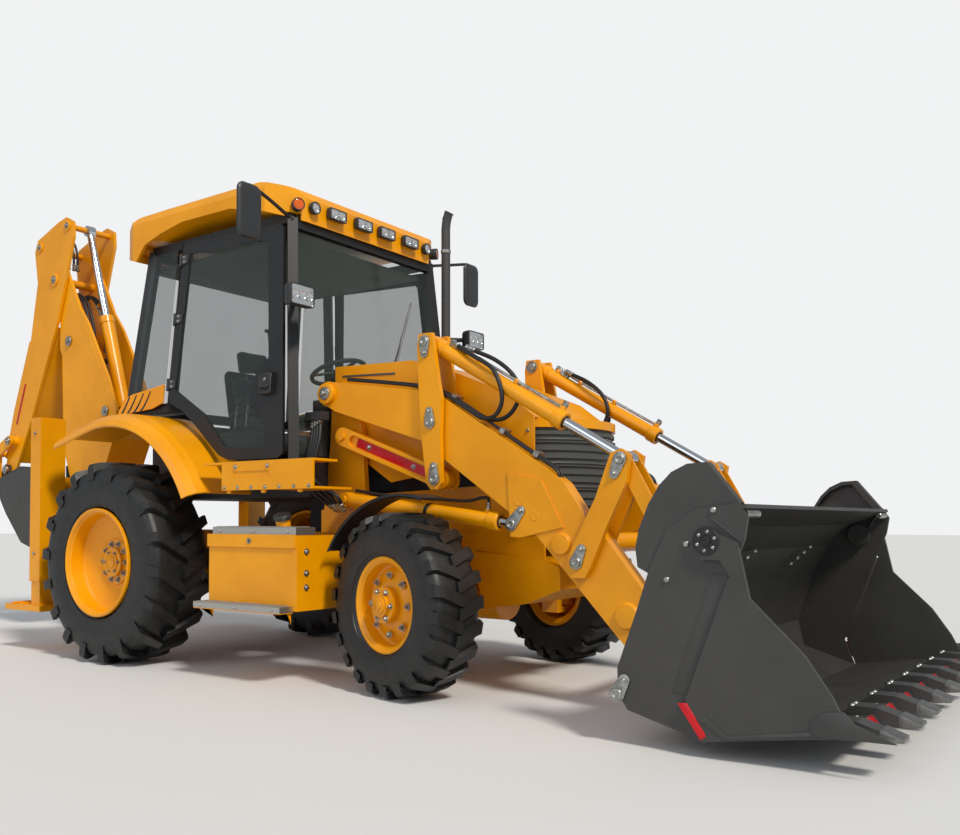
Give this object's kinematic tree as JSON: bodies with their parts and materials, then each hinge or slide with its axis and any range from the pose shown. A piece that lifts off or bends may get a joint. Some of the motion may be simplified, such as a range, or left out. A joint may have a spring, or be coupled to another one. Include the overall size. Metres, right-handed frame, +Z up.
{
  "type": "backhoe loader",
  "caption": "Backhoe loader with a four-in-one front shovel, self-levelling loader arms, glazed cab, sideshift backhoe and vertical stabilisers",
  "frame": {"origin": "middle of the overall length and width, on the ground under the wheels", "axes": "X forward to the shovel, Y to the machine's left, Z up"},
  "size_m": [7.887, 2.388, 3.5299],
  "materials": {
    "machine_yellow": "gloss",
    "cab_black": "satin",
    "shovel_charcoal": "satin",
    "rod_chrome": "polished",
    "pin_steel": "satin",
    "iron_dark": "matte",
    "window_glass": "clear",
    "interior_plastic": "matte",
    "seat_fabric": "woven",
    "tyre_rubber": "matte",
    "lamp_black": "gloss",
    "exhaust_black": "matte"
  },
  "bodies": {
    "machine": {"chassis": "machine_yellow", "rear_frame": "machine_yellow", "driveline": "iron_dark", "hood": "machine_yellow", "grille": "iron_dark", "cab_frame": "cab_black", "cab_roof": "machine_yellow", "cab_glass": "window_glass", "cab_interior": "interior_plastic", "seat": "seat_fabric", "fenders": "machine_yellow", "mudguards": "cab_black", "step_boxes": "machine_yellow", "exhaust": "exhaust_black", "lamps": "lamp_black", "front_axle": "machine_yellow", "eyes": "machine_yellow"},
    "knuckle_left_body": {"knuckle_left": "machine_yellow"},
    "knuckle_right_body": {"knuckle_right": "machine_yellow"},
    "wheel_front_left": {"rim_front_left": "machine_yellow", "tyre_front_left": "tyre_rubber"},
    "wheel_front_right": {"rim_front_right": "machine_yellow", "tyre_front_right": "tyre_rubber"},
    "wheel_rear_left": {"rim_rear_left": "machine_yellow", "tyre_rear_left": "tyre_rubber"},
    "wheel_rear_right": {"rim_rear_right": "machine_yellow", "tyre_rear_right": "tyre_rubber"},
    "door_left_body": {"door_left": "cab_black", "door_glass_left": "window_glass"},
    "door_right_body": {"door_right": "cab_black", "door_glass_right": "window_glass"},
    "arms": {"loader_arms": "machine_yellow"},
    "levers": {"tilt_levers": "machine_yellow"},
    "level": {"level_links": "machine_yellow"},
    "lift_barrel_body": {"lift_barrels": "machine_yellow"},
    "lift_rod_body": {"lift_rods": "rod_chrome"},
    "tilt_barrel_body": {"tilt_barrels": "machine_yellow"},
    "tilt_rod_body": {"tilt_rods": "rod_chrome"},
    "rocker_pin_body": {"rocker_pins": "pin_steel"},
    "rocker_body": {"rockers": "machine_yellow"},
    "tip_pin_body": {"tip_pins": "pin_steel"},
    "tip_link_body": {"tip_links": "machine_yellow"},
    "shovel_pin_body": {"shovel_pins": "pin_steel"},
    "shovel_body": {"shovel_shell": "shovel_charcoal"},
    "jaw_body": {"shovel_jaw": "shovel_charcoal"},
    "carriage_body": {"carriage": "machine_yellow"},
    "kingpost_body": {"kingpost": "machine_yellow"},
    "boom_body": {"boom": "machine_yellow"},
    "ram_barrel_body": {"ram_barrel": "machine_yellow"},
    "ram_rod_body": {"ram_rod": "rod_chrome"},
    "dipper_body": {"dipper": "machine_yellow"},
    "dipper_barrel_body": {"dipper_barrel": "machine_yellow"},
    "dipper_rod_body": {"dipper_rod": "rod_chrome"},
    "crowd_barrel_body": {"crowd_barrel": "machine_yellow"},
    "crowd_rod_body": {"crowd_rod": "rod_chrome"},
    "guide_body": {"hoe_guides": "machine_yellow"},
    "link_body": {"hoe_links": "machine_yellow"},
    "bucket_body": {"hoe_bucket": "shovel_charcoal"},
    "stabiliser_left_body": {"stabiliser_left": "machine_yellow"},
    "stabiliser_right_body": {"stabiliser_right": "machine_yellow"}
  },
  "joints": [
    {"name": "steer_right", "type": "hinge", "parent": "machine", "child": "knuckle_right_body", "pos_m": [1.4085, -0.8, 0.49], "axis": [0, 0, 1], "range_deg": [-21.2, 47.8]},
    {"name": "steer_left", "type": "hinge", "parent": "machine", "child": "knuckle_left_body", "pos_m": [1.4085, 0.8, 0.49], "axis": [0, 0, 1], "range_deg": [-21.2, 47.8]},
    {"name": "spin_front_left", "type": "hinge", "parent": "knuckle_left_body", "child": "wheel_front_left", "pos_m": [1.4177, 0.83893, 0.49], "axis": [0.23, 0.9732, 0], "continuous": true},
    {"name": "spin_rear_left", "type": "hinge", "parent": "machine", "child": "wheel_rear_left", "pos_m": [-0.9435, 0.94, 0.66], "axis": [0, 1, 0], "continuous": true},
    {"name": "spin_front_right", "type": "hinge", "parent": "knuckle_right_body", "child": "wheel_front_right", "pos_m": [1.3993, -0.83893, 0.49], "axis": [0.23, 0.9732, 0], "continuous": true},
    {"name": "spin_rear_right", "type": "hinge", "parent": "machine", "child": "wheel_rear_right", "pos_m": [-0.9435, -0.94, 0.66], "axis": [0, 1, 0], "continuous": true},
    {"name": "door_left_hinge", "type": "hinge", "parent": "machine", "child": "door_left_body", "pos_m": [-0.6875, 0.80203, 1.75891], "axis": [0.0584, -0.0679, 0.996], "range_deg": [0, 75]},
    {"name": "door_right_hinge", "type": "hinge", "parent": "machine", "child": "door_right_body", "pos_m": [-0.6875, -0.80203, 1.75891], "axis": [-0.0584, -0.0679, -0.996], "range_deg": [0, 75]},
    {"name": "lift", "type": "hinge", "parent": "machine", "child": "arms", "pos_m": [0.5985, 0, 1.7], "axis": [0, -1, 0], "range_deg": [0, 72]},
    {"name": "lever_turn", "type": "hinge", "parent": "arms", "child": "levers", "pos_m": [1.4165, 0, 1.478], "axis": [0, -1, 0], "range_deg": [-63.14, 0.5]},
    {"name": "level_turn", "type": "hinge", "parent": "machine", "child": "level", "pos_m": [0.7015, 0, 1.438], "axis": [0, -1, 0], "range_deg": [-0.5, 77.4]},
    {"name": "lift_barrel_turn", "type": "hinge", "parent": "machine", "child": "lift_barrel_body", "pos_m": [0.7205, 0, 1.058], "axis": [0, -1, 0], "range_deg": [-0.5, 67.46]},
    {"name": "lift_rod_slide", "type": "slide", "parent": "lift_barrel_body", "child": "lift_rod_body", "axis": [0.9932, 0, -0.1168], "range_m": [-0.002, 0.746]},
    {"name": "tilt_barrel_turn", "type": "hinge", "parent": "levers", "child": "tilt_barrel_body", "pos_m": [1.3795, 0, 1.929], "axis": [0, -1, 0], "range_deg": [-0.5, 57.88]},
    {"name": "rocker_pin_turn", "type": "hinge", "parent": "arms", "child": "rocker_pin_body", "pos_m": [2.3415, 0, 0.728], "axis": [0, -1, 0], "range_deg": [-44.35, 0.5]},
    {"name": "rocker_turn", "type": "hinge", "parent": "rocker_pin_body", "child": "rocker_body", "pos_m": [2.3415, 0, 0.728], "axis": [0, -1, 0], "range_deg": [-32, 25]},
    {"name": "tip_pin_turn", "type": "hinge", "parent": "rocker_body", "child": "tip_pin_body", "pos_m": [2.5835, 0, 1.231], "axis": [0, -1, 0], "range_deg": [-25, 32]},
    {"name": "tip_link_turn", "type": "hinge", "parent": "tip_pin_body", "child": "tip_link_body", "pos_m": [2.5835, 0, 1.231], "axis": [0, -1, 0], "range_deg": [-0.1, 43.95]},
    {"name": "shovel_pin_turn", "type": "hinge", "parent": "arms", "child": "shovel_pin_body", "pos_m": [2.7485, 0, 0.29], "axis": [0, -1, 0], "range_deg": [-63.14, 0.5]},
    {"name": "tilt", "type": "hinge", "parent": "shovel_pin_body", "child": "shovel_body", "pos_m": [2.7485, 0, 0.29], "axis": [0, -1, 0], "range_deg": [-45, 35]},
    {"name": "tilt_rod_slide", "type": "slide", "parent": "tilt_barrel_body", "child": "tilt_rod_body", "axis": [0.8651, 0, -0.5015], "range_m": [-0.2002, 0.2568]},
    {"name": "jaw", "type": "hinge", "parent": "shovel_body", "child": "jaw_body", "pos_m": [3.2395, 0, 0.85], "axis": [0, -1, 0], "range_deg": [0, 80]},
    {"name": "sideshift", "type": "slide", "parent": "machine", "child": "carriage_body", "axis": [0, 1, 0], "range_m": [-0.5, 0.5]},
    {"name": "slew", "type": "hinge", "parent": "carriage_body", "child": "kingpost_body", "pos_m": [-2.3835, 0, 0.86], "axis": [0, 0, 1], "range_deg": [-90, 90]},
    {"name": "boom_lower", "type": "hinge", "parent": "kingpost_body", "child": "boom_body", "pos_m": [-2.5435, 0, 0.86], "axis": [0, -1, 0], "range_deg": [0, 110]},
    {"name": "ram_turn", "type": "hinge", "parent": "kingpost_body", "child": "ram_barrel_body", "pos_m": [-2.8235, 0, 0.7], "axis": [0, -1, 0], "range_deg": [-0.5, 121.1]},
    {"name": "ram_slide", "type": "slide", "parent": "ram_barrel_body", "child": "ram_rod_body", "axis": [-0.0345, 0, 0.9994], "range_m": [-0.452, 0.002]},
    {"name": "dipper_out", "type": "hinge", "parent": "boom_body", "child": "dipper_body", "pos_m": [-3.0735, 0, 3.012], "axis": [0, 1, 0], "range_deg": [0, 100]},
    {"name": "dipper_barrel_turn", "type": "hinge", "parent": "boom_body", "child": "dipper_barrel_body", "pos_m": [-2.3435, 0, 1.83], "axis": [0, 1, 0], "range_deg": [-1, 4]},
    {"name": "dipper_slide", "type": "slide", "parent": "dipper_barrel_body", "child": "dipper_rod_body", "axis": [-0.3136, 0, 0.9496], "range_m": [-0.738, 0.002]},
    {"name": "bucket_out", "type": "hinge", "parent": "dipper_body", "child": "bucket_body", "pos_m": [-3.7735, 0, 1.39], "axis": [0, 1, 0], "range_deg": [0, 140]},
    {"name": "guide_turn", "type": "hinge", "parent": "dipper_body", "child": "guide_body", "pos_m": [-3.6635, 0, 1.64], "axis": [0, 1, 0], "range_deg": [-0.5, 80.5]},
    {"name": "link_turn", "type": "hinge", "parent": "guide_body", "child": "link_body", "pos_m": [-3.8905, 0, 1.534], "axis": [0, 1, 0], "range_deg": [-76.99, 0.5]},
    {"name": "crowd_barrel_turn", "type": "hinge", "parent": "dipper_body", "child": "crowd_barrel_body", "pos_m": [-3.3035, 0, 3.332], "axis": [0, -1, 0], "range_deg": [-1.14, 0.5]},
    {"name": "crowd_slide", "type": "slide", "parent": "crowd_barrel_body", "child": "crowd_rod_body", "axis": [-0.3104, 0, -0.9506], "range_m": [-0.3255, 0.004]},
    {"name": "stabiliser_left_down", "type": "slide", "parent": "machine", "child": "stabiliser_left_body", "axis": [0, 0, -1], "range_m": [0, 0.28]},
    {"name": "stabiliser_right_down", "type": "slide", "parent": "machine", "child": "stabiliser_right_body", "axis": [0, 0, -1], "range_m": [0, 0.28]}
  ],
  "couplings": [
    {"joint": "steer_left", "follows": "steer_right", "ratio": 1},
    {"joint": "lever_turn", "follows": "lift", "ratio": -0.87},
    {"joint": "level_turn", "follows": "lift", "ratio": 1.068},
    {"joint": "lift_barrel_turn", "follows": "lift", "ratio": 0.93},
    {"joint": "lift_rod_slide", "follows": "lift", "m_per_rad": 0.59174},
    {"joint": "tilt_barrel_turn", "follows": "lift", "ratio": 0.797},
    {"joint": "rocker_pin_turn", "follows": "lift", "ratio": -0.609},
    {"joint": "rocker_turn", "follows": "tilt", "ratio": 0.7},
    {"joint": "tip_pin_turn", "follows": "tilt", "ratio": -0.7},
    {"joint": "tip_link_turn", "follows": "lift", "ratio": 0.609},
    {"joint": "shovel_pin_turn", "follows": "lift", "ratio": -0.87},
    {"joint": "tilt_rod_slide", "follows": "tilt", "m_per_rad": -0.32444},
    {"joint": "ram_turn", "follows": "boom_lower", "ratio": 1.096},
    {"joint": "ram_slide", "follows": "boom_lower", "m_per_rad": -0.23304},
    {"joint": "dipper_barrel_turn", "follows": "dipper_out", "ratio": 0.03},
    {"joint": "dipper_slide", "follows": "dipper_out", "m_per_rad": -0.42026},
    {"joint": "guide_turn", "follows": "bucket_out", "ratio": 0.57143},
    {"joint": "link_turn", "follows": "bucket_out", "ratio": -0.54633},
    {"joint": "crowd_barrel_turn", "follows": "bucket_out", "ratio": -0.004557},
    {"joint": "crowd_slide", "follows": "bucket_out", "m_per_rad": -0.13158}
  ]
}
